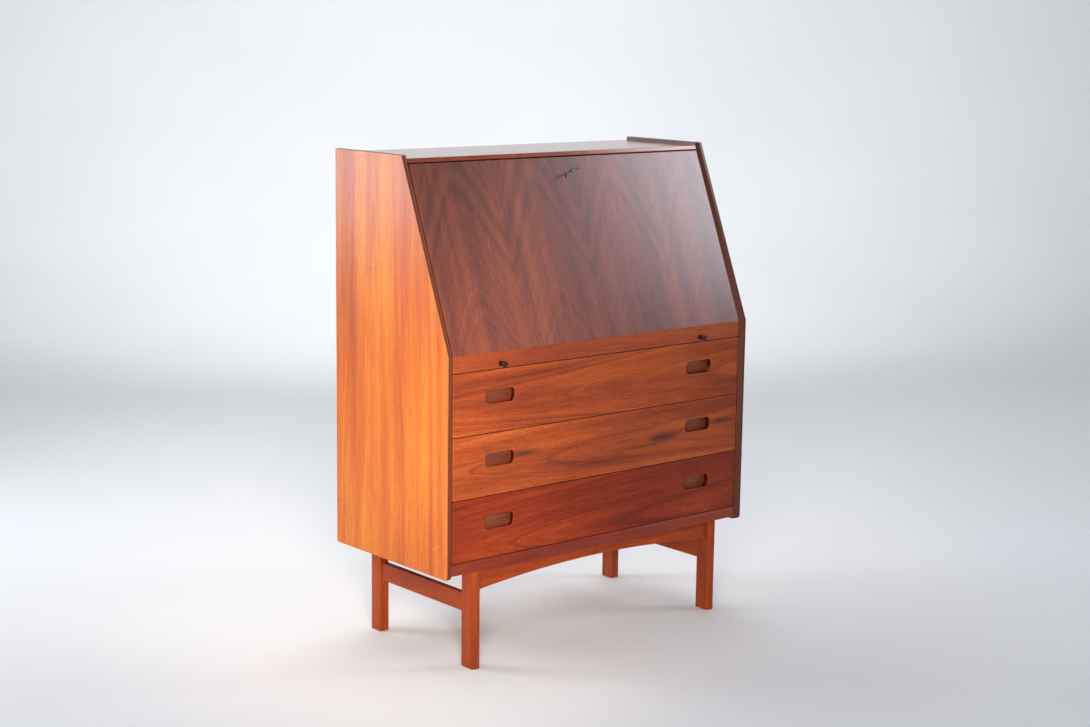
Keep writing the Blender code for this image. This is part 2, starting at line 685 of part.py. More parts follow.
# ---- Pigeonholes --------------------------------------------------------------
def shelf(finish):
    """A full-width shelf, notched from the front where the dividers pass through it."""
    front, back = DIVIDER_FRONT + RUNNING, CASE_BACK
    halfway = (DIVIDER_FRONT + CASE_BACK) / 2
    reach = INNER - SEAT
    outline = [(reach, back), (-reach, back), (-reach, front)]
    for side in (-1, 1):
        left = side * DIVIDER_X - DIVIDER / 2 - SEAT
        right = side * DIVIDER_X + DIVIDER / 2 + SEAT
        outline += [(left, front), (left, halfway), (right, halfway), (right, front)]
    outline.append((reach, front))
    points = [(x, y, SHELF_LOW) for x, y in outline]
    add_object("pigeonhole_shelf", prism(points, (0, 0, SHELF)), finish)


def divider(name, side, finish):
    """An upright from the desk floor to the top board, notched from the back for the shelf."""
    low, high = WRITING_Z + SEAT, TOP_Z - BOARD - SEAT
    notch_low, notch_high = SHELF_LOW - SEAT, SHELF_LOW + SHELF + SEAT
    halfway = (DIVIDER_FRONT + CASE_BACK) / 2 - SEAT
    outline = [
        (DIVIDER_FRONT, low),
        (CASE_BACK, low),
        (CASE_BACK, notch_low),
        (halfway, notch_low),
        (halfway, notch_high),
        (CASE_BACK, notch_high),
        (CASE_BACK, high),
        (DIVIDER_FRONT, high),
    ]
    x = side * DIVIDER_X - DIVIDER / 2
    add_object(name, prism(across(outline, x), (DIVIDER, 0, 0)), finish)


def small_drawer(word, side, wood, tray_wood):
    """A small drawer under the shelf: an open tray behind a front with a finger notch."""
    name = "small_drawer_" + word
    x = mirrored(side, DIVIDER_X + DIVIDER / 2 + SMALL_GAP, INNER - SMALL_GAP)
    low, high = WRITING_Z + SMALL_GAP, SHELF_LOW - SMALL_GAP
    front_y = DIVIDER_FRONT + RUNNING
    joint = joint_empty(name + "_slide", Vector((sum(x) / 2, front_y, low)))
    notch = arc((sum(x) / 2, high), NOTCH_RADIUS, 0, -math.pi, ROUND_STEPS)
    outline = [(x[0], high), (x[0], low), (x[1], low), (x[1], high), *notch]
    front = prism(facing(outline, front_y), (0, SMALL_FRONT, 0))
    add_object(name + "_front", front, wood, joint)
    y = (front_y + SMALL_FRONT + SEAT, CASE_BACK - TRAY_REAR_SPACE)
    inner_x = (x[0] + TRAY_WALL, x[1] - TRAY_WALL)
    inner_y = (y[0] + TRAY_WALL, y[1] - TRAY_WALL)
    floor, rim = WRITING_Z + SEAT, high - TRAY_DROP - NOTCH_RADIUS / 2
    loops = [
        rectangle(inner_x, inner_y, floor + TRAY_FLOOR),
        rectangle(inner_x, inner_y, rim),
        rectangle(x, y, rim),
        rectangle(x, y, floor),
    ]
    add_object(name + "_tray", loft(loops), tray_wood, joint)


# ---- Assembly -----------------------------------------------------------------
def main():
    clear_scene()
    side_teak = material("teak_veneer_side", (0.52, 0.17, 0.04), 0.35)
    front_teak = material("teak_veneer_front", (0.36, 0.09, 0.03), 0.35)
    flap_teak = material("teak_veneer_flap", (0.25, 0.09, 0.05), 0.30)
    frame_teak = material("solid_teak_frame", (0.40, 0.10, 0.03), 0.40)
    dark_teak = material("dark_teak", (0.08, 0.03, 0.02), 0.40)
    light_wood = material("light_inner_wood", (0.55, 0.38, 0.22), 0.50)
    plywood = material("plywood", (0.45, 0.27, 0.14), 0.60)
    steel = material("steel", (0.50, 0.50, 0.48), 0.35, 1.0)

    side_panel("side_panel_left", -1, side_teak)
    side_panel("side_panel_right", 1, side_teak)
    top_board(front_teak)
    bottom_board(front_teak)
    case_boards(front_teak, plywood)
    leg_frame(frame_teak)
    for number in range(1, DRAWERS + 1):
        drawer(number, front_teak, dark_teak, light_wood)
    runners(light_wood)
    support(front_teak, dark_teak)
    flap(flap_teak, steel)
    shelf(light_wood)
    for side, word in ((-1, "left"), (1, "right")):
        divider("divider_" + word, side, light_wood)
        small_drawer(word, side, front_teak, light_wood)


main()
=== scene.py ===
# %% [markdown]
# # A teak secretary desk
# The desk is a case of veneered boards on a low frame of solid teak legs. A sloping flap
# folds down to a writing surface, a rail with two small knobs pulls out to carry it, and
# three drawers with recessed oval pulls fill the lower half.
#
# The measured model of the desk is loaded first as a fixed frame: it says where each
# board is and how it moves. Everything below takes its places from that frame and adds
# what a measured model lacks, such as eased edges, turned knobs, grain and lacquer.

# %% Load the measured model
import json
import math

import bmesh
import bpy
from mathutils import Matrix, Vector


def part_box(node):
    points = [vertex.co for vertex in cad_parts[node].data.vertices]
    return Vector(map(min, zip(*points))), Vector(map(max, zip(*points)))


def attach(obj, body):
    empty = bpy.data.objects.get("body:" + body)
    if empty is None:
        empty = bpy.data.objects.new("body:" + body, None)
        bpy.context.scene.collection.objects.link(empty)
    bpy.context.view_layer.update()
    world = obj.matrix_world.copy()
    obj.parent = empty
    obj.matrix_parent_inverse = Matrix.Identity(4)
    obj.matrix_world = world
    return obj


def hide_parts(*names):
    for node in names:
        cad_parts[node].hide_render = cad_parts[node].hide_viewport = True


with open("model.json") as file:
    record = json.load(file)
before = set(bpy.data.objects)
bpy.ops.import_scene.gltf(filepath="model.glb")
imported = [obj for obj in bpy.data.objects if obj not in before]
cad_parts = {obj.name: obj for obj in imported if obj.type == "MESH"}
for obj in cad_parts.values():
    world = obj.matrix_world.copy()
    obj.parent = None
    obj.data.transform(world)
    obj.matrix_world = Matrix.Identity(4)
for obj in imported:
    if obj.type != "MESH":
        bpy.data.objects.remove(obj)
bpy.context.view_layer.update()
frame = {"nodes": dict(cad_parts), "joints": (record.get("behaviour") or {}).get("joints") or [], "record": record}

# %% [markdown]
# ## Colours
# A wood colour is easiest to note down as the six-figure code that a paint program shows.
# Blender's shaders work in linear light, so one function turns the code into that.


# %% Colour codes to linear light
def linear(code):
    """A code such as "#a0522d" as linear red, green, blue and an alpha of 1."""
    shown = [int(code[i:i + 2], 16) / 255 for i in (1, 3, 5)]
    light = [c / 12.92 if c <= 0.04045 else ((c + 0.055) / 1.055) ** 2.4 for c in shown]
    return (*light, 1.0)


print("teak brown in linear light", [round(v, 3) for v in linear("#a0522d")])

# %% [markdown]
# ## A helper for shader nodes
# A finish is a small network of nodes. This one function adds a node, sets its options
# and fills its sockets, each with a number, a colour or the output of an earlier node.


# %% One function that adds a node
def add(tree, kind, sockets=None, stops=None, **options):
    """Adds a node. sockets maps an input's name or number to a value, a node or an output;
    stops are a colour ramp's (position, colour) pairs."""
    node = tree.nodes.new("ShaderNode" + kind)
    for option, value in options.items():
        setattr(node, option, value)
    for place, value in (sockets or {}).items():
        if isinstance(value, bpy.types.Node):
            value = value.outputs[0]
        if isinstance(value, bpy.types.NodeSocket):
            tree.links.new(value, node.inputs[place])
        else:
            node.inputs[place].default_value = value
    for number, (position, colour) in enumerate(stops or ()):
        ramp = node.color_ramp.elements
        stop = ramp[number] if number < len(ramp) else ramp.new(position)
        stop.position, stop.color = position, colour
    return node


# %% [markdown]
# ## How a board lies in its log
# A wood pattern could be painted on each face of a board, but then its end grain and its
# face would not agree. So each pattern is worked out in the solid, in the same three
# directions: across the board, into its thickness, and along the grain. The rows of each
# matrix say which way of the desk each of the three is. One recipe then serves upright
# sides, drawer fronts whose grain runs across, and the flap, which leans back.

# %% Directions of the grain
SLOPE_DEEP = 0.169  # how far the case narrows, front to back, over its sloping part
SLOPE_TALL = 0.416  # the height of the sloping part
lean = math.atan2(SLOPE_DEEP, SLOPE_TALL)
GRAIN = {
    "upright side": ((0, 1, 0), (-1, 0, 0), (0, 0, 1)),
    "upright": ((1, 0, 0), (0, 1, 0), (0, 0, 1)),
    "across the front": ((0, 0, 1), (0, 1, 0), (-1, 0, 0)),
    "across the top": ((0, 1, 0), (0, 0, 1), (1, 0, 0)),
    "front to back": ((0, 0, 1), (1, 0, 0), (0, 1, 0)),
    "up the flap": ((1, 0, 0), (0, math.cos(lean), -math.sin(lean)),
                    (0, math.sin(lean), math.cos(lean))),
}
print("flap leans back", round(math.degrees(lean), 2), "degrees")


# %% [markdown]
# ## Teak
# Teak is a golden to red-brown hardwood. A sliced leaf of veneer shows its growth rings as
# long flames where it passes near the heart of the log, and as straight lines elsewhere,
# with short dark pores everywhere. So the recipe is that of a log: rings round a heart
# line, slightly conical and bent, cut by the board's own surface. The satin lacquer is a
# clear coat. Wood and lacquer bend light almost alike, so the wood under it hardly
# reflects by itself.


# %% The teak recipe
def teak(name, grain, tones, heart, taper=0.10, sway=0.010, leaf=None, ring=0.009,
         figure=0.6, gloss=0.28, coat=0.6, stain=None):
    """tones: light, middle, dark and line colours. heart: where the log's heart line is,
    across, into the board and along. taper, sway: how conical and how bent the log is.
    leaf: width of the book-matched leaves. ring: mean width of a growth ring, in metres.
    figure: how strongly the rings show. gloss, coat: the lacquer's roughness and weight."""
    finish = bpy.data.materials.new(name)
    finish.use_nodes = True
    tree = finish.node_tree
    tree.nodes.clear()
    light, middle, dark, line = (linear(t) for t in tones)
    turn = Matrix(GRAIN[grain]).to_euler()
    here = add(tree, "TexCoord").outputs["Object"]
    wood = add(tree, "Mapping", {"Vector": here, "Rotation": turn,
                                 "Location": [-c for c in heart]})

    def noise(across, along, detail=2.0):
        """Noise with so many patches to the metre across the grain and along it."""
        at = add(tree, "VectorMath", {0: wood, 1: (across, across, along)},
                 operation="MULTIPLY")
        return add(tree, "TexNoise", {"Vector": at, "Scale": 1.0, "Detail": detail})

    def times(value, factor, plus):
        """value * factor + plus"""
        return add(tree, "Math", {0: value, 1: factor, 2: plus}, operation="MULTIPLY_ADD")

    across, depth, along = add(tree, "SeparateXYZ", {0: wood}).outputs
    if leaf:
        across = add(tree, "Math", {0: across, 1: leaf / 2}, operation="PINGPONG")
    # rings: the distance from the heart line, bent slowly, and wavering from ring to ring
    square = add(tree, "Math", {0: across, 1: across}, operation="MULTIPLY")
    radius = add(tree, "Math", {0: times(depth, depth, square), 1: 0.5}, operation="POWER")
    radius = times(along, taper, radius)
    radius = times(noise(5.0, 1.3, 1.0), 4 * sway, radius)
    radius = times(noise(45.0, 6.0), 0.0035, radius)
    rings = add(tree, "Math", {0: radius, 1: ring}, operation="DIVIDE")
    bands = add(tree, "TexNoise", {"W": rings, "Scale": 0.5, "Detail": 4.0,
                                   "Roughness": 0.6}, noise_dimensions="1D")
    lines = add(tree, "TexNoise", {"W": rings, "Scale": 1.7, "Detail": 1.0},
                noise_dimensions="1D")
    # fibres about 1.5 mm wide, drawn coarser than real ones so that they show
    fibre = noise(650.0, 14.0)
    # pores: short dark dashes, 0.8 mm wide and 12 mm long
    pore = add(tree, "MapRange", {0: noise(1200.0, 80.0, 0.0), 1: 0.58, 2: 0.72},
               interpolation_type="SMOOTHSTEP")
    streak = noise(22.0, 0.9, 3.0)
    patch = noise(6.0, 2.2, 1.0)
    # the tone adds the noises up, each about its own middle, so it centres on 0.5
    tone = times(fibre, 0.55, -0.85 - figure * 0.5)
    tone = times(streak, 0.75, tone)
    tone = times(patch, 0.5, tone)
    tone = times(bands, figure, tone)
    tone = add(tree, "Math", {0: tone, 1: 0.5}, operation="ADD")
    colour = add(tree, "ValToRGB", {0: tone},
                 stops=((0.25, light), (0.52, middle), (0.82, dark)))
    late = add(tree, "MapRange", {0: lines, 1: 0.58, 2: 0.80, 4: figure},
               interpolation_type="SMOOTHSTEP")
    late = add(tree, "Math", {0: late, 1: patch}, operation="MULTIPLY")
    colour = add(tree, "Mix", {0: late, 6: colour, 7: line}, data_type="RGBA").outputs[2]
    sunk = add(tree, "Math", {0: pore, 1: 0.45}, operation="MULTIPLY")
    colour = add(tree, "Mix", {0: sunk, 6: colour, 7: line}, data_type="RGBA").outputs[2]
    if stain:
        colour = stain(tree, here, fibre, colour)
    # solid teak on a veneered side's edges is darker, and the same dark tone on the side's inside faces is painted
    # shade; handled edges are rubbed lighter
    lipping_and_shade = add(tree, "Attribute", attribute_name="lipping_and_shade").outputs["Fac"]
    solid = add(tree, "Mix", {0: fibre, 6: linear(LIPPING_AND_SHADE[0]), 7: linear(LIPPING_AND_SHADE[1])},
                data_type="RGBA").outputs[2]
    colour = add(tree, "Mix", {0: lipping_and_shade, 6: colour, 7: solid}, data_type="RGBA").outputs[2]
    worn = add(tree, "Attribute", attribute_name="handled_edge").outputs["Fac"]
    worn = add(tree, "Math", {0: worn, 1: fibre}, operation="MULTIPLY")
    worn = add(tree, "Math", {0: worn, 1: 0.5}, operation="MULTIPLY")
    colour = add(tree, "Mix", {0: worn, 6: colour, 7: light}, data_type="RGBA").outputs[2]
    height = times(pore, -0.8, fibre)
    bump = add(tree, "Bump", {"Height": height, "Strength": 0.2, "Distance": 0.0001})
    shader = add(tree, "BsdfPrincipled", {
        "Base Color": colour, "Roughness": times(fibre, 0.16, 0.42), "Normal": bump,
        "IOR": 1.5, "Specular IOR Level": 0.1,
        "Coat Weight": coat, "Coat Roughness": gloss, "Coat IOR": 1.5})
    add(tree, "OutputMaterial", {"Surface": shader})
    return finish


# dark tones for the sides' edges, which are solid teak, and for their inside faces, where they are painted shade
LIPPING_AND_SHADE = ("#64301f", "#45201a")
print("grain directions", len(GRAIN), "lipping tones", LIPPING_AND_SHADE)

# %% [markdown]
# ## Marks of age
# Dark mineral streaks run through the middle drawer's veneer, and the left side has a
# small pale dent low down near its front edge. They could be painted on an image, but a
# stretched blob round a named place is enough. Its rim is torn along the fibres.


# %% Marks
def blobs(spots, colour_code):
    """spots: centre, half sizes and strength of each mark."""
    def stain(tree, here, fibre, colour):
        """Lays each mark over the colour so far and returns the new colour."""
        for centre, half, strength in spots:
            near = add(tree, "Mapping", {"Vector": here, "Location": centre, "Scale": half},
                       vector_type="TEXTURE")
            far = add(tree, "VectorMath", {0: near}, operation="LENGTH").outputs["Value"]
            far = add(tree, "Math", {0: fibre, 1: 1.4, 2: far}, operation="MULTIPLY_ADD")
            mark = add(tree, "MapRange", {0: far, 1: 1.7, 2: 0.6, 3: 0.0, 4: strength},
                       interpolation_type="SMOOTHSTEP")
            colour = add(tree, "Mix", {0: mark, 6: colour, 7: linear(colour_code)},
                         data_type="RGBA").outputs[2]
        return colour
    return stain


MINERAL = "#33201f"
BARE_WOOD = "#f0b070"
front_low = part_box("drawer_2_front")[0]
knots = blobs((
    ((0.190, front_low.y, front_low.z + 0.064), (0.065, 0.02, 0.017), 1.0),
    ((0.120, front_low.y, front_low.z + 0.050), (0.130, 0.02, 0.006), 0.7),
    ((0.385, front_low.y, front_low.z + 0.080), (0.070, 0.02, 0.010), 0.9),
    ((-0.235, front_low.y, front_low.z + 0.082), (0.070, 0.02, 0.012), 0.9)), MINERAL)
side_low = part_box("side_panel_left")[0]
dent = blobs((((side_low.x, side_low.y + 0.050, side_low.z + 0.062),
               (0.01, 0.003, 0.003), 0.9),), BARE_WOOD)
print("marks start from", [round(v, 3) for v in front_low], [round(v, 3) for v in side_low])

# %% [markdown]
# ## The finishes of the outer boards
# Every drawer front gets its own leaf of veneer, because no two leaves are alike. The
# sides were cut from a lighter, more orange log than the fronts, and the flap is browner:
# its leaves were cut near the heart and laid side by side as mirror images. All of them
# come from the one recipe, so that they still look like the same wood.

# %% Veneers for the case
SIDE_TONES = ("#cf8420", "#bc6118", "#9b4512", "#7e3519")
FRONT_TONES = ("#a75523", "#8c3e1a", "#622615", "#3c1c19")
LOW_TONES = ("#9a3f12", "#7e2a0c", "#57190b", "#36120f")
# darker tones for the lowest drawer and the bottom board, so the front is darker towards the bottom
FLAP_TONES = ("#86482f", "#6c3525", "#4c241a", "#2a1412")
flap_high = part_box("flap_panel")[1]
# the flap's place along its own thickness, from which its log's heart is measured
FLAP_DEPTH = flap_high.y * math.cos(lean) - flap_high.z * math.sin(lean)
side_left = teak("teak veneer, lacquered, left side", "upright side", SIDE_TONES,
                 (0.070, 0.435, 0.2), taper=0.045, figure=0.5, coat=0.42,
                 stain=dent)
side_right = teak("teak veneer, lacquered, right side", "upright side", SIDE_TONES,
                  (0.045, -0.435, 0.9), taper=0.05, figure=0.5, coat=0.45)
flap_veneer = teak("teak veneer, lacquered, flap", "up the flap", FLAP_TONES,
                   (-0.100, FLAP_DEPTH + 0.022, 0.5), taper=0.42, sway=0.012,
                   leaf=0.230, figure=0.45, gloss=0.22, coat=1.0)
drawer_veneers = {
    3: teak("teak veneer, lacquered, upper drawer", "across the front", FRONT_TONES,
            (0.590, -0.172, 0.3), taper=0.07, figure=0.75, coat=0.32),
    2: teak("teak veneer, lacquered, middle drawer", "across the front", FRONT_TONES,
            (0.450, -0.176, 1.9), taper=0.06, figure=0.75, coat=0.32, stain=knots),
    1: teak("teak veneer, lacquered, lower drawer", "across the front", LOW_TONES,
            (0.270, -0.170, 3.1), taper=0.07, figure=0.75, coat=0.28),
}
rail_veneer = teak("teak, lacquered, rails", "across the front", FRONT_TONES,
                   (0.74, -0.1, 4.0), taper=0.02, figure=0.4)
low_rail_veneer = teak("teak, lacquered, bottom board", "across the front", LOW_TONES,
                       (0.30, -0.1, 4.0), taper=0.02, figure=0.4)
top_veneer = teak("teak veneer, lacquered, top", "across the top", FRONT_TONES,
                  (0.09, 1.08, 0.2), taper=0.08, figure=0.5, gloss=0.15, coat=1.0)
print("case finishes", len(bpy.data.materials))

# %% [markdown]
# ## Solid teak
# The leg frame is solid teak with an oiled surface, duller than lacquer. The blocks of the
# pulls are the same wood with its tones darkened as painted shade for the inside of the
# slots, and the knobs were stained almost black.

# %% Solid teak of the frame, the pulls and the knobs
FRAME_TONES = ("#aa4c18", "#943b13", "#6f290e", "#4a1b0e")
OILED = {"figure": 0.4, "gloss": 0.42, "coat": 0.18}
leg_teak = teak("solid teak, oiled, legs", "upright", FRAME_TONES, (0.2, 0.5, 0.4),
                taper=0.01, **OILED)
apron_teak = teak("solid teak, oiled, aprons", "across the front", FRAME_TONES,
                  (0.05, -0.1, 0.4), taper=0.02, **OILED)
stretcher_teak = teak("solid teak, oiled, stretchers", "front to back", FRAME_TONES,
                      (0.05, 0.1, 0.4), taper=0.02, **OILED)
# tones darker than the fronts': painted shade for the inside of the slots
PULL_SHADED_TONES = ("#87472c", "#6b3421", "#4c2319", "#2c1613")
pull_teak_shaded = teak("teak, lacquered, darkened as slot shade", "across the front", PULL_SHADED_TONES,
                 (0.9, 0.4, 0.4), taper=0.02, figure=0.4)
KNOB_TONES = ("#2c1510", "#1f0e0b", "#160908", "#0e0605")
knob_teak = teak("ebonised teak, lacquered", "front to back", KNOB_TONES,
                 (0.9, 0.4, 0.4), taper=0.02, figure=0.4)
print("finishes with the solid teak", len(bpy.data.materials))

# %% [markdown]
# ## Inner woods
# Drawer boxes, runners and support arms are a pale hardwood such as beech under a thin
# matt lacquer, the hidden panels are plywood with a plain light brown face, and the
# pigeonholes are veneered with teak. The teak recipe serves for them all, with pale tones
# and straight grain for the beech, and hardly any gloss.

# %% Pale hardwood and plywood
PALE_TONES = ("#d9b686", "#cba472", "#b98f5e", "#a07a4e")
PLY_TONES = ("#b98a5c", "#a87848", "#93663a", "#7c5430")
MATT = {"figure": 0.4, "gloss": 0.4, "coat": 0.15}
pale_across = teak("beech, matt lacquer, grain across", "across the front", PALE_TONES,
                   (0.3, -0.4, 0.5), taper=0.02, **MATT)
pale_deep = teak("beech, matt lacquer, grain front to back", "front to back", PALE_TONES,
                 (0.3, 0.2, 0.5), taper=0.02, **MATT)
ply = teak("plywood, matt", "across the top", PLY_TONES, (0.4, 0.2, 0.5), taper=0.05,
           figure=0.5, gloss=0.45, coat=0.1)
inner_teak = teak("teak veneer, matt, inside", "across the front", FRONT_TONES,
                  (0.8, 0.3, 0.5), taper=0.05, figure=0.5, gloss=0.35, coat=0.3)
print("all the woods", len(bpy.data.materials))


# %% [markdown]
# ## Metal
# The lock, its key and the hinge pins are steel. The lock's case was rolled and then
# rubbed with emery, which leaves fine scratches one way; the key was polished and has
# grown dull and slightly brown in patches. Noise makes both: it is stretched along the
# scratches, and left round for the patches.


# %% Steel
def steel(name, bright, dull, rough, scratch):
    """scratch: how many scratches to the metre, along each axis."""
    finish = bpy.data.materials.new(name)
    finish.use_nodes = True
    tree = finish.node_tree
    tree.nodes.clear()
    here = add(tree, "TexCoord").outputs["Object"]
    rubbed_at = add(tree, "VectorMath", {0: here, 1: scratch}, operation="MULTIPLY")
    rubbed = add(tree, "TexNoise", {"Vector": rubbed_at, "Scale": 1.0, "Detail": 3.0})
    patches = add(tree, "TexNoise", {"Vector": here, "Scale": 160.0, "Detail": 4.0})
    tarnish = add(tree, "MapRange", {0: patches, 1: 0.45, 2: 0.7})
    colour = add(tree, "Mix", {0: tarnish, 6: linear(bright), 7: linear(dull)},
                 data_type="RGBA").outputs[2]
    roughness = add(tree, "Math", {0: rubbed, 1: 0.25, 2: rough - 0.12},
                    operation="MULTIPLY_ADD")
    bump = add(tree, "Bump", {"Height": rubbed, "Strength": 0.2, "Distance": 0.00005})
    shader = add(tree, "BsdfPrincipled", {"Base Color": colour, "Metallic": 1.0,
                                          "Roughness": roughness, "Normal": bump})
    add(tree, "OutputMaterial", {"Surface": shader})
    return finish


lock_steel = steel("rubbed steel", "#b8b4aa", "#8d8677", 0.36, (3000.0, 150.0, 150.0))
key_steel = steel("polished steel, tarnished", "#cfcabd", "#6d6457", 0.24,
                  (900.0, 900.0, 900.0))
print("steels", lock_steel.name, "and", key_steel.name)


# %% [markdown]
# ## Easing the edges of a board
# A joiner never leaves an edge dead sharp: sandpaper takes it off, here by half a
# millimetre to two millimetres. A thin highlight then runs along every edge. A Bevel
# modifier could do it, but a bevel in the mesh can also mark the new faces, so that the
# finish is lighter there, where hands have worn it. The measured board is copied first,
# and its loose triangles are merged and joined into whole faces.


# %% A finished piece from a bmesh
SHARP = math.radians(35)  # a corner turns by more than this
FLAT = math.radians(0.5)  # triangles within this lie in one face
FINE, THIN, EASED, STOUT, BROAD = 0.0005, 0.0006, 0.0008, 0.0012, 0.0020


def piece_from(shape, name, body, finish, replaced, keep_sharp=math.radians(50)):
    """Makes a finished piece from a bmesh and lets it ride on its body."""
    bmesh.ops.recalc_face_normals(shape, faces=shape.faces)
    for face in shape.faces:
        face.smooth = True
    mesh = bpy.data.meshes.new(name)
    shape.to_mesh(mesh)
    shape.free()
    mesh.materials.append(finish)
    piece = bpy.data.objects.new(name, mesh)
    bpy.context.scene.collection.objects.link(piece)
    mesh.set_sharp_from_angle(angle=keep_sharp)
    flat = piece.modifiers.new("flat faces stay flat", "WEIGHTED_NORMAL")
    flat.keep_sharp = True
    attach(piece, body)
    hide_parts(*replaced)
    return piece


print("edges are eased by", FINE, THIN, EASED, STOUT, "or", BROAD, "m")


# %% A board with eased edges
def board_shape(node):
    """The measured board as a bmesh of whole faces."""
    shape = bmesh.new()
    shape.from_mesh(frame["nodes"][node].data)
    bmesh.ops.remove_doubles(shape, verts=shape.verts, dist=1e-6)
    bmesh.ops.dissolve_limit(shape, angle_limit=FLAT, verts=shape.verts,
                             edges=shape.edges)
    return shape


def ease(shape, radius, steps=3, where=None):
    """Rounds the sharp edges, or those that where() picks, and marks the new faces."""
    handled = shape.faces.layers.float.get("handled_edge")
    if handled is None:
        handled = shape.faces.layers.float.new("handled_edge")
    edges = [e for e in shape.edges if e.is_manifold and abs(e.calc_face_angle()) > SHARP]
    if where:
        edges = [e for e in edges if where(e)]
    made = bmesh.ops.bevel(shape, geom=edges, offset=radius, offset_type="OFFSET",
                           affect="EDGES", segments=steps, profile=0.5, material=-1,
                           clamp_overlap=True)
    for face in made["faces"]:
        face[handled] = 1.0


bodies = frame["record"]["behaviour"]["bodies"]
body_of = {node: body for body, nodes in bodies.items() for node in nodes}
print("boards to finish", len(body_of))


def eased(node, finish, radius=EASED, steps=3):
    """A measured board with its edges eased, on the body that it moves with."""
    shape = board_shape(node)
    ease(shape, radius, steps)
    return piece_from(shape, node + "_eased", body_of[node], finish, [node])


# %% [markdown]
# ## The case
# Two sides, the top, the bottom and the desk floor. The back panel and the dust panel are
# plywood let in between them. The boards are right as they were measured, so they only
# get their edges and finishes. A side's edges are of darker teak than its outer face, and
# its inside faces get the same dark tone as painted shade; an attribute on its faces says where.


# %% Sides
def side_panel(side, finish):
    """Only the outer face is light veneer: the edges are darker teak, and the inside is darkened as painted shade.
    """
    node = "side_panel_" + side
    shape = board_shape(node)
    # every face but the outer one takes the dark tones: solid teak on the edges, painted shade on the inside faces
    lipping_and_shade = shape.faces.layers.float.new("lipping_and_shade")
    for face in shape.faces:
        outward = -face.normal.x if side == "left" else face.normal.x
        face[lipping_and_shade] = 0.0 if outward > 0.99 else 1.0
    ease(shape, BROAD)
    return piece_from(shape, node + "_eased", "case", finish, [node])


for side, finish in (("left", side_left), ("right", side_right)):
    print(side_panel(side, finish).name)

# %% Other boards of the case
eased("top_board", top_veneer)
eased("bottom_board", low_rail_veneer, STOUT)
eased("desk_floor", inner_teak)
eased("back_panel", ply, FINE)
eased("dust_panel", ply, FINE)
eased("pigeonhole_shelf", inner_teak, THIN)
for side in ("left", "right"):
    eased("divider_" + side, inner_teak, THIN)
    eased("small_drawer_" + side + "_front", inner_teak)
    eased("small_drawer_" + side + "_tray", pale_deep, THIN)

# %% [markdown]
# ## The leg frame
# Four legs with one long rounded edge, an apron with an arched lower edge at the front
# and one at the back, and a stretcher on each side. The round and the arch are in the
# measured boards already, so an ordinary easing is all that they need.

# %% Legs, aprons and stretchers
for leg in ("front_leg_left", "front_leg_right", "rear_leg_left", "rear_leg_right"):
    eased(leg, leg_teak, STOUT)
for apron in ("front_apron", "back_apron"):
    eased(apron, apron_teak, STOUT)
for stretcher in ("stretcher_left", "stretcher_right"):
    made = eased(stretcher, stretcher_teak, STOUT)
print(made.name, len(made.data.polygons), "faces")

# %% [markdown]
# ## The drawers
# Each front is 18 mm thick, with two rounded slots cut through it for the fingers. A router
# rounded the rim of each slot over and cut its wall back behind the rim, so that a
# fingertip can hook in. Here the loop at the back of the slot is scaled outwards, which
# is quicker and cleaner than cutting with a second shape. A block of teak, its tones
# darkened as painted shade for the slot's inside, closes the slot from behind.

# %% Drawer fronts with undercut slots
RIM = 0.0017  # radius of the rounded rim
UNDERCUT = 0.0050  # how far the wall is cut back behind it
TOUCH = 1e-5  # nearer than this counts as lying in a face


def drawer_front(number):
    """A front with eased edges and two slots with rounded rims and undercut walls."""
    node = f"drawer_{number}_front"
    shape = board_shape(node)
    low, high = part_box(node)

    def in_slot(vert):
        """True well inside the front's outline, where only the slots have corners."""
        return abs(vert.co.x) < high.x - 0.05 and low.z + 0.02 < vert.co.z < high.z - 0.02

    for side in ("left", "right"):
        pull_low, pull_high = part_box(f"drawer_{number}_pull_{side}")
        centre = (pull_low + pull_high) / 2
        back = [v for v in shape.verts if in_slot(v) and v.co.y > high.y - TOUCH
                and abs(v.co.x - centre.x) < pull_high.x - centre.x]
        slot_wide = max(v.co.x for v in back) - centre.x
        slot_high = max(v.co.z for v in back) - centre.z
        outward = (1 + UNDERCUT / slot_wide, 1, 1 + UNDERCUT / slot_high)
        bmesh.ops.scale(shape, vec=outward, verts=back, space=Matrix.Translation(-centre))

    def is_rim(edge):
        return all(in_slot(v) and v.co.y < low.y + TOUCH for v in edge.verts)

    ease(shape, RIM, 4, is_rim)
    ease(shape, EASED, 3, lambda e: not any(in_slot(v) for v in e.verts))
    return piece_from(shape, node + "_eased", f"drawer_{number}",
                      drawer_veneers[number], [node], math.radians(60))


for number in (1, 2, 3):
    front = drawer_front(number)
    print(front.name, len(front.data.polygons), "faces")

# %% Blocks behind the slots
for number in (1, 2, 3):
    for side in ("left", "right"):
        made = eased(f"drawer_{number}_pull_{side}", pull_teak_shaded, THIN, 2)
print(made.name, len(made.data.polygons), "faces")

# %% [markdown]
# ## Drawer boxes and runners
# Behind each front is a box of pale hardwood with a plywood bottom. Its sides have a
# groove that runs on a batten fixed to the side of the case. They are hidden until a
# drawer is open, so two steps are enough to round their edges.

# %% Boxes and runners
for number in (1, 2, 3):
    for side in ("left", "right"):
        eased(f"drawer_{number}_side_{side}", pale_deep, THIN, 2)
        eased(f"drawer_{number}_runner_{side}", pale_deep, THIN, 2)
    eased(f"drawer_{number}_back", pale_across, THIN, 2)
    made = eased(f"drawer_{number}_bottom", ply, FINE, 2)
    print(made.name, len(made.data.polygons), "faces")

# %% [markdown]
# ## The support under the flap
# A full-width rail with an arm behind each end. It is pulled out by two small turned
# knobs before the flap is let down on it. All three are plain boards.

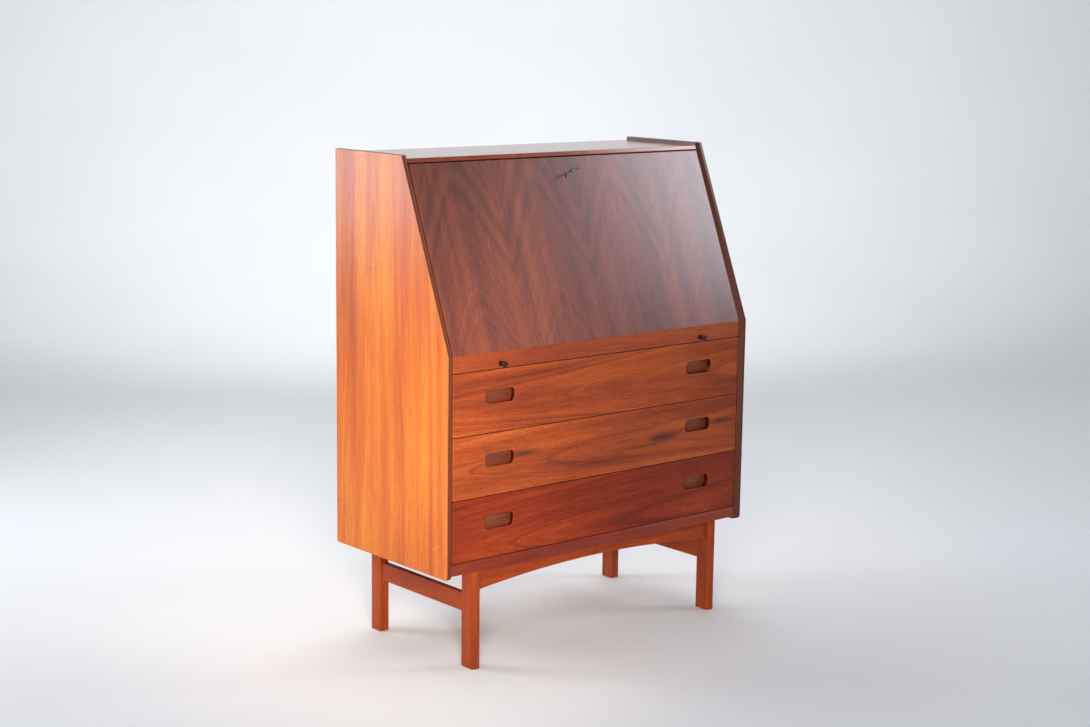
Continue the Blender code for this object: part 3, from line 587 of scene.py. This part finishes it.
# %% Rail and arms
print(eased("support_rail", rail_veneer).name)
for side in ("left", "right"):
    print(eased("support_arm_" + side, pale_deep, EASED, 2).name)

# %% [markdown]
# ## Knobs
# Each knob was turned on a lathe: a wide foot, a narrower waist for the fingertips and a
# domed head. A spin does in Blender what the lathe did: half the outline is drawn as a few
# points, and one full turn makes the rest.

# %% Turned knobs
KNOB_FIT = 0.98  # keeps the head just inside the measured length
# distance from the axis and height above the foot, in millimetres
OUTLINE = ((0.0, 0.0), (6.2, 0.0), (6.2, 1.6), (5.4, 3.0), (5.0, 5.5), (4.9, 8.0),
           (5.1, 10.4), (5.8, 12.2), (6.1, 13.6), (6.2, 15.0), (5.8, 16.6), (4.4, 17.5),
           (2.3, 17.95), (0.0, 18.0))


def knob(side):
    """One knob, with its foot on the rail and its head to the front."""
    node = "knob_" + side
    low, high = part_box(node)
    centre = (low + high) / 2
    shape = bmesh.new()
    points = [shape.verts.new((centre.x + out / 1000, high.y - ahead / 1000 * KNOB_FIT,
                               centre.z)) for out, ahead in OUTLINE]
    outline = [shape.edges.new(pair) for pair in zip(points, points[1:])]
    bmesh.ops.spin(shape, geom=points + outline, cent=centre, axis=(0, 1, 0),
                   angle=math.tau, steps=40, use_merge=True)
    bmesh.ops.remove_doubles(shape, verts=shape.verts, dist=1e-6)
    return piece_from(shape, "turned_knob_" + side, "support", knob_teak,
                      [node])


for side in ("left", "right"):
    print(knob(side).name)

# %% [markdown]
# ## The flap
# The flap closes the desk at a lean and opens to a writing surface. In the measured model
# its lower edge is rounded about the hinge; the real edge looks square and only eased.
# Cutting it off would shorten the flap, so the round nose is gathered into one corner,
# which is then eased like the others. The price is that this corner is clear of the
# support when the flap is shut or open, but cuts up to 6 mm into it on the way. For a flap
# that is shown half open, leave the round nose as it was measured.

# %% Flap
pivot = next(j for j in frame["joints"] if j["name"] == "flap_hinge")["pos_m"]


def flap():
    """The flap with its round lower nose gathered into a square, eased corner."""
    shape = board_shape("flap_panel")
    outward = Vector((0, -math.cos(lean), math.sin(lean)))
    start = Vector((0, pivot[1], pivot[2]))
    low_z = min(v.co.z for v in shape.verts)
    half = start.z - low_z
    # where the outer face, half a thickness out from the pivot, comes down to low_z
    along = Vector((0, math.sin(lean), math.cos(lean)))
    corner = start + outward * half
    corner += along * ((low_z - corner.z) / along.z)
    for vert in shape.verts:
        reach = Vector((0, vert.co.y - start.y, vert.co.z - start.z))
        on_nose = abs(reach.length - half) < 2 * TOUCH
        if on_nose and reach.dot(along) < TOUCH and reach.y < TOUCH:
            vert.co.y, vert.co.z = corner.y, corner.z
    bmesh.ops.remove_doubles(shape, verts=shape.verts, dist=TOUCH)
    bmesh.ops.dissolve_limit(shape, angle_limit=FLAT, verts=shape.verts,
                             edges=shape.edges)
    ease(shape, EASED, 3)
    return piece_from(shape, "flap_veneered", "flap", flap_veneer,
                      ["flap_panel"])


made = flap()
print(made.name, len(made.data.polygons), "faces")

# %% [markdown]
# ## The lock and its key
# The lock's case is let into the inner face of the flap. The key has a round shank, a
# collar and a ring to hold it by, and it turns the bolt up into the top board. The shank
# is a spin of its outline, and the ring a spin of a small circle.

# %% Lock
eased("lock_case", lock_steel, FINE, 2)
eased("lock_bolt", lock_steel, 0.0004, 2)
for side in ("left", "right"):
    pin = frame["nodes"]["pivot_pin_" + side]
    pin.data.materials.clear()
    pin.data.materials.append(lock_steel)
    print(pin.name, "is", lock_steel.name)

# %% Key
key_joint = next(j for j in frame["joints"] if j["name"] == "key_turn")
# distance from the axis and height above the keyhole, in millimetres
SHANK = ((0.0, -11.0), (2.3, -11.0), (2.3, 6.0), (3.1, 6.6), (3.1, 8.0), (2.3, 8.6),
         (2.2, 22.0), (2.9, 23.0), (2.9, 24.4), (2.0, 26.2), (1.6, 28.6), (0.0, 28.6))
RING_HIGH, RING_RADIUS, WIRE = 0.0365, 0.0087, 0.0016


def key():
    """Built upright with its ring across X, then laid along the keyhole's own line."""
    place = Matrix.Translation(key_joint["pos_m"]) @ Matrix(
        ((1, 0, 0), (0, -math.sin(lean), -math.cos(lean)),
         (0, -math.cos(lean), math.sin(lean)))).to_4x4()
    shape = bmesh.new()
    points = [shape.verts.new((r / 1000, 0, h / 1000)) for r, h in SHANK]
    edges = [shape.edges.new(pair) for pair in zip(points, points[1:])]
    bmesh.ops.spin(shape, geom=points + edges, cent=(0, 0, 0), axis=(0, 0, 1),
                   angle=math.tau, steps=28, use_merge=True)
    circle = bmesh.ops.create_circle(
        shape, segments=16, radius=WIRE,
        matrix=Matrix.Translation((RING_RADIUS, 0, RING_HIGH)))["verts"]
    circle_edges = [e for e in shape.edges if e.verts[0] in circle and e.verts[1] in circle]
    bmesh.ops.rotate(shape, verts=circle, cent=(RING_RADIUS, 0, RING_HIGH),
                     matrix=Matrix.Rotation(math.pi / 2, 3, "X"))
    bmesh.ops.spin(shape, geom=circle + circle_edges, cent=(0, 0, RING_HIGH),
                   axis=(0, 1, 0), angle=math.tau, steps=48, use_merge=True)
    bmesh.ops.remove_doubles(shape, verts=shape.verts, dist=1e-6)
    bmesh.ops.transform(shape, matrix=place, verts=shape.verts)
    return piece_from(shape, "steel_key", "key", key_steel, ["key"])


made = key()
print(made.name, len(made.data.polygons), "faces")

# %% [markdown]
# ## The room
# Furniture is often shown on a sweep of pale paper, which hides the line between floor and
# wall. Here it is a round one: a disc of floor whose rim curves up into a wall about five
# metres high, so that every side of the desk has the same plain background.

# %% Paper
paper = bpy.data.materials.new("pale paper, matt")
paper.use_nodes = True
tree = paper.node_tree
tree.nodes.clear()
grain_at = add(tree, "TexCoord").outputs["Object"]
mottle = add(tree, "TexNoise", {"Vector": grain_at, "Scale": 1.3, "Detail": 2.0})
white = add(tree, "Mix", {0: mottle, 6: linear("#e6e9ec"), 7: linear("#eef0f2")},
            data_type="RGBA").outputs[2]
add(tree, "OutputMaterial", {"Surface": add(tree, "BsdfPrincipled", {
    "Base Color": white, "Roughness": 0.7, "Specular IOR Level": 0.2})})

print(paper.name)

# %% Floor
FLOOR_RADIUS, COVE, WALL = 8.0, 4.2, 5.2
sweep = bmesh.new()
outline = [(0.0, 0.0), (FLOOR_RADIUS - COVE, 0.0)]
outline += [(FLOOR_RADIUS - COVE + COVE * math.sin(t), COVE - COVE * math.cos(t))
            for t in (math.radians(9 * n) for n in range(1, 11))]
outline.append((FLOOR_RADIUS, WALL))
points = [sweep.verts.new((r, 0, z)) for r, z in outline]
edges = [sweep.edges.new(pair) for pair in zip(points, points[1:])]
bmesh.ops.spin(sweep, geom=points + edges, cent=(0, 0, 0), axis=(0, 0, 1), angle=math.tau,
               steps=96, use_merge=True)
bmesh.ops.remove_doubles(sweep, verts=sweep.verts, dist=1e-5)
bmesh.ops.recalc_face_normals(sweep, faces=sweep.faces)
for face in sweep.faces:
    face.smooth = True
mesh = bpy.data.meshes.new("paper_sweep")
sweep.to_mesh(mesh)
sweep.free()
mesh.materials.append(paper)
floor = bpy.data.objects.new("paper_sweep", mesh)
bpy.context.scene.collection.objects.link(floor)
print(floor.name, len(mesh.polygons), "faces")

# %% [markdown]
# ## Light
# Soft light fills the studio from above, and a lamp of its own keeps the background pale. A
# soft box behind and to the left brightens the left side. A warm one in front of that
# side, with a grid that keeps most of it off the floor, brings out the orange. A cool one
# stands far to the right, and its reflection is the sheen on the flap. Lamps are easier
# to balance one at a time than a picture of a room wrapped round the desk.


# %% Soft boxes and sky
def soft_box(name, place, aim, size, power, colour="#ffffff", spread=180):
    """An area lamp; a small spread in degrees is a grid that keeps light off the floor."""
    lamp = bpy.data.lights.new(name, "AREA")
    lamp.shape, lamp.size, lamp.size_y = "RECTANGLE", size[0], size[1]
    lamp.energy = power
    lamp.color = linear(colour)[:3]
    lamp.spread = math.radians(spread)
    box = bpy.data.objects.new(name, lamp)
    box.location = place
    box.rotation_euler = (Vector(aim) - Vector(place)).to_track_quat("-Z", "Y").to_euler()
    box.visible_camera = False
    bpy.context.scene.collection.objects.link(box)
    return box


soft_box("window left", (-2.25, 2.3, 1.25), (-0.45, 0, 0.9), (1.4, 1.2), 31, "#f4f7ff", 130)
soft_box("gridded box left", (-1.5, -1.6, 0.85), (-0.45, -0.15, 0.60), (0.5, 0.5), 8.5,
         "#ffeed8", 56)
soft_box("gridded box right", (3.3, -2.0, 2.75), (0.2, -0.1, 0.9), (1.0, 1.1), 6.4,
         "#f2f2ff", 70)
soft_box("soft box above", (0.9, 1.4, 4.2), (0.6, 0.2, 0), (3.5, 3.5), 90)
soft_box("backdrop light", (1.0, 1.4, 2.6), (4.2, 6.0, 2.1), (1.5, 1.5), 95, "#ffffff", 120)

sky = bpy.data.worlds.new("studio")
sky.use_nodes = True
sky.node_tree.nodes["Background"].inputs["Color"].default_value = linear("#eef2f8")
sky.node_tree.nodes["Background"].inputs["Strength"].default_value = 0.34
bpy.context.scene.world = sky
bpy.context.scene.view_settings.view_transform = "Standard"
print("lamps", len(bpy.data.lights))

# %% [markdown]
# ## Camera
# A 65 mm lens at 1.43 metres, a little over four and a half metres away to the left of the
# desk's front, tilted down by ten degrees. A long lens keeps the desk's lines almost
# parallel, as in a catalogue.

# %% Camera
yaw, pitch, roll = 0.7026, 0.1760, 0.0137  # radians
PLACE = (-2.9585, -3.4835, 1.4323)
ahead = Vector((math.sin(yaw) * math.cos(pitch), math.cos(yaw) * math.cos(pitch),
                -math.sin(pitch)))
right = Vector((math.cos(yaw), -math.sin(yaw), 0))
up = right.cross(ahead)
x_axis = right * math.cos(roll) + up * math.sin(roll)
y_axis = up * math.cos(roll) - right * math.sin(roll)
lens = bpy.data.cameras.new("camera")
lens.lens, lens.sensor_width = 65.32, 36.0
lens.clip_start, lens.clip_end = 0.05, 60.0
camera = bpy.data.objects.new("camera", lens)
axes = Matrix((x_axis, y_axis, -ahead)).transposed()
camera.matrix_world = Matrix.Translation(PLACE) @ axes.to_4x4()
bpy.context.scene.collection.objects.link(camera)
bpy.context.scene.camera = camera
print("camera", PLACE, "lens", round(lens.lens, 2), "mm")
